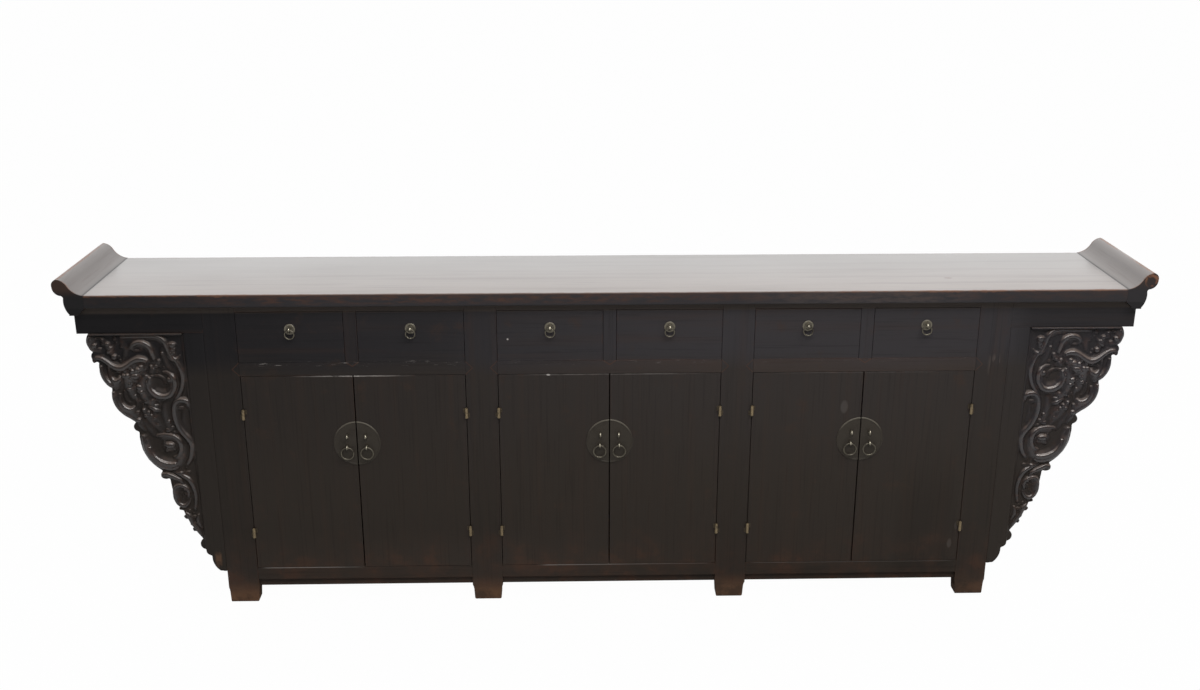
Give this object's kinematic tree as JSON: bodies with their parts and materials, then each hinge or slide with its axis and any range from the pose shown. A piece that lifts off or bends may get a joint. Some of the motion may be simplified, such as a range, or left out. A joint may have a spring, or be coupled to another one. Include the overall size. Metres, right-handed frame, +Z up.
{
  "type": "altar table",
  "caption": "Long low cabinet with an everted-end top, a row of drawers with ring pulls over paired doors, and carved end spandrels, for storage and display.",
  "frame": {"origin": "on the floor under the middle of the top, the bottom centre of the bounding box", "axes": "+X along the length to the right as seen from the front, +Y from front to back, +Z up"},
  "size_m": [2.8368, 0.37, 0.943],
  "materials": {
    "dark_lacquered_wood": "near-black worn lacquer over hardwood, satin",
    "bare_inner_wood": "plain unlacquered softwood, dry",
    "aged_brass": "dull aged brass, rubbed brighter on its edges"
  },
  "bodies": {
    "carcass": {"top_board": "dark_lacquered_wood", "end_flange_left": "dark_lacquered_wood", "end_flange_right": "dark_lacquered_wood", "spandrel_left": "dark_lacquered_wood", "spandrel_right": "dark_lacquered_wood", "frieze_boards": "dark_lacquered_wood", "front_legs": "dark_lacquered_wood", "back_legs": "dark_lacquered_wood", "front_rails": "dark_lacquered_wood", "back_rails": "dark_lacquered_wood", "cross_rails": "dark_lacquered_wood", "end_panels_and_partitions": "dark_lacquered_wood", "back_panels": "dark_lacquered_wood", "drawer_dividers": "dark_lacquered_wood", "cupboard_floors": "bare_inner_wood", "dust_boards": "bare_inner_wood", "drawer_runners": "bare_inner_wood", "hinge_frame_leaves": "aged_brass"},
    "drawer_1": {"drawer_1_front": "dark_lacquered_wood", "drawer_1_box": "bare_inner_wood", "drawer_1_pull": "aged_brass"},
    "drawer_1_ring_body": {"drawer_1_ring": "aged_brass"},
    "drawer_2": {"drawer_2_front": "dark_lacquered_wood", "drawer_2_box": "bare_inner_wood", "drawer_2_pull": "aged_brass"},
    "drawer_2_ring_body": {"drawer_2_ring": "aged_brass"},
    "drawer_3": {"drawer_3_front": "dark_lacquered_wood", "drawer_3_box": "bare_inner_wood", "drawer_3_pull": "aged_brass"},
    "drawer_3_ring_body": {"drawer_3_ring": "aged_brass"},
    "drawer_4": {"drawer_4_front": "dark_lacquered_wood", "drawer_4_box": "bare_inner_wood", "drawer_4_pull": "aged_brass"},
    "drawer_4_ring_body": {"drawer_4_ring": "aged_brass"},
    "drawer_5": {"drawer_5_front": "dark_lacquered_wood", "drawer_5_box": "bare_inner_wood", "drawer_5_pull": "aged_brass"},
    "drawer_5_ring_body": {"drawer_5_ring": "aged_brass"},
    "drawer_6": {"drawer_6_front": "dark_lacquered_wood", "drawer_6_box": "bare_inner_wood", "drawer_6_pull": "aged_brass"},
    "drawer_6_ring_body": {"drawer_6_ring": "aged_brass"},
    "door_1": {"door_1_panel": "dark_lacquered_wood", "door_1_brass": "aged_brass"},
    "door_1_ring_body": {"door_1_ring": "aged_brass"},
    "door_2": {"door_2_panel": "dark_lacquered_wood", "door_2_brass": "aged_brass"},
    "door_2_ring_body": {"door_2_ring": "aged_brass"},
    "door_3": {"door_3_panel": "dark_lacquered_wood", "door_3_brass": "aged_brass"},
    "door_3_ring_body": {"door_3_ring": "aged_brass"},
    "door_4": {"door_4_panel": "dark_lacquered_wood", "door_4_brass": "aged_brass"},
    "door_4_ring_body": {"door_4_ring": "aged_brass"},
    "door_5": {"door_5_panel": "dark_lacquered_wood", "door_5_brass": "aged_brass"},
    "door_5_ring_body": {"door_5_ring": "aged_brass"},
    "door_6": {"door_6_panel": "dark_lacquered_wood", "door_6_brass": "aged_brass"},
    "door_6_ring_body": {"door_6_ring": "aged_brass"}
  },
  "joints": [
    {"name": "drawer_1_slide", "type": "slide", "parent": "carcass", "child": "drawer_1", "axis": [0, -1, 0], "range_m": [0, 0.24]},
    {"name": "drawer_1_ring_swing", "type": "hinge", "parent": "drawer_1", "child": "drawer_1_ring_body", "pos_m": [-0.83, -0.174, 0.8005], "axis": [-1, 0, 0], "range_deg": [0, 90]},
    {"name": "drawer_2_slide", "type": "slide", "parent": "carcass", "child": "drawer_2", "axis": [0, -1, 0], "range_m": [0, 0.24]},
    {"name": "drawer_2_ring_swing", "type": "hinge", "parent": "drawer_2", "child": "drawer_2_ring_body", "pos_m": [-0.518, -0.174, 0.8005], "axis": [-1, 0, 0], "range_deg": [0, 90]},
    {"name": "drawer_3_slide", "type": "slide", "parent": "carcass", "child": "drawer_3", "axis": [0, -1, 0], "range_m": [0, 0.24]},
    {"name": "drawer_3_ring_swing", "type": "hinge", "parent": "drawer_3", "child": "drawer_3_ring_body", "pos_m": [-0.156, -0.174, 0.8005], "axis": [-1, 0, 0], "range_deg": [0, 90]},
    {"name": "drawer_4_slide", "type": "slide", "parent": "carcass", "child": "drawer_4", "axis": [0, -1, 0], "range_m": [0, 0.24]},
    {"name": "drawer_4_ring_swing", "type": "hinge", "parent": "drawer_4", "child": "drawer_4_ring_body", "pos_m": [0.156, -0.174, 0.8005], "axis": [-1, 0, 0], "range_deg": [0, 90]},
    {"name": "drawer_5_slide", "type": "slide", "parent": "carcass", "child": "drawer_5", "axis": [0, -1, 0], "range_m": [0, 0.24]},
    {"name": "drawer_5_ring_swing", "type": "hinge", "parent": "drawer_5", "child": "drawer_5_ring_body", "pos_m": [0.518, -0.174, 0.8005], "axis": [-1, 0, 0], "range_deg": [0, 90]},
    {"name": "drawer_6_slide", "type": "slide", "parent": "carcass", "child": "drawer_6", "axis": [0, -1, 0], "range_m": [0, 0.24]},
    {"name": "drawer_6_ring_swing", "type": "hinge", "parent": "drawer_6", "child": "drawer_6_ring_body", "pos_m": [0.83, -0.174, 0.8005], "axis": [-1, 0, 0], "range_deg": [0, 90]},
    {"name": "door_1_hinge", "type": "hinge", "parent": "carcass", "child": "door_1", "pos_m": [-0.96825, -0.1694, 0.39], "axis": [0, 0, -1], "range_deg": [0, 90]},
    {"name": "door_1_ring_swing", "type": "hinge", "parent": "door_1", "child": "door_1_ring_body", "pos_m": [-0.7, -0.174, 0.469], "axis": [-1, 0, 0], "range_deg": [0, 90]},
    {"name": "door_2_hinge", "type": "hinge", "parent": "carcass", "child": "door_2", "pos_m": [-0.37975, -0.1694, 0.39], "axis": [0, 0, 1], "range_deg": [0, 90]},
    {"name": "door_2_ring_swing", "type": "hinge", "parent": "door_2", "child": "door_2_ring_body", "pos_m": [-0.648, -0.174, 0.469], "axis": [-1, 0, 0], "range_deg": [0, 90]},
    {"name": "door_3_hinge", "type": "hinge", "parent": "carcass", "child": "door_3", "pos_m": [-0.29425, -0.1694, 0.39], "axis": [0, 0, -1], "range_deg": [0, 90]},
    {"name": "door_3_ring_swing", "type": "hinge", "parent": "door_3", "child": "door_3_ring_body", "pos_m": [-0.026, -0.174, 0.469], "axis": [-1, 0, 0], "range_deg": [0, 90]},
    {"name": "door_4_hinge", "type": "hinge", "parent": "carcass", "child": "door_4", "pos_m": [0.29425, -0.1694, 0.39], "axis": [0, 0, 1], "range_deg": [0, 90]},
    {"name": "door_4_ring_swing", "type": "hinge", "parent": "door_4", "child": "door_4_ring_body", "pos_m": [0.026, -0.174, 0.469], "axis": [-1, 0, 0], "range_deg": [0, 90]},
    {"name": "door_5_hinge", "type": "hinge", "parent": "carcass", "child": "door_5", "pos_m": [0.37975, -0.1694, 0.39], "axis": [0, 0, -1], "range_deg": [0, 90]},
    {"name": "door_5_ring_swing", "type": "hinge", "parent": "door_5", "child": "door_5_ring_body", "pos_m": [0.648, -0.174, 0.469], "axis": [-1, 0, 0], "range_deg": [0, 90]},
    {"name": "door_6_hinge", "type": "hinge", "parent": "carcass", "child": "door_6", "pos_m": [0.96825, -0.1694, 0.39], "axis": [0, 0, 1], "range_deg": [0, 90]},
    {"name": "door_6_ring_swing", "type": "hinge", "parent": "door_6", "child": "door_6_ring_body", "pos_m": [0.7, -0.174, 0.469], "axis": [-1, 0, 0], "range_deg": [0, 90]}
  ]
}
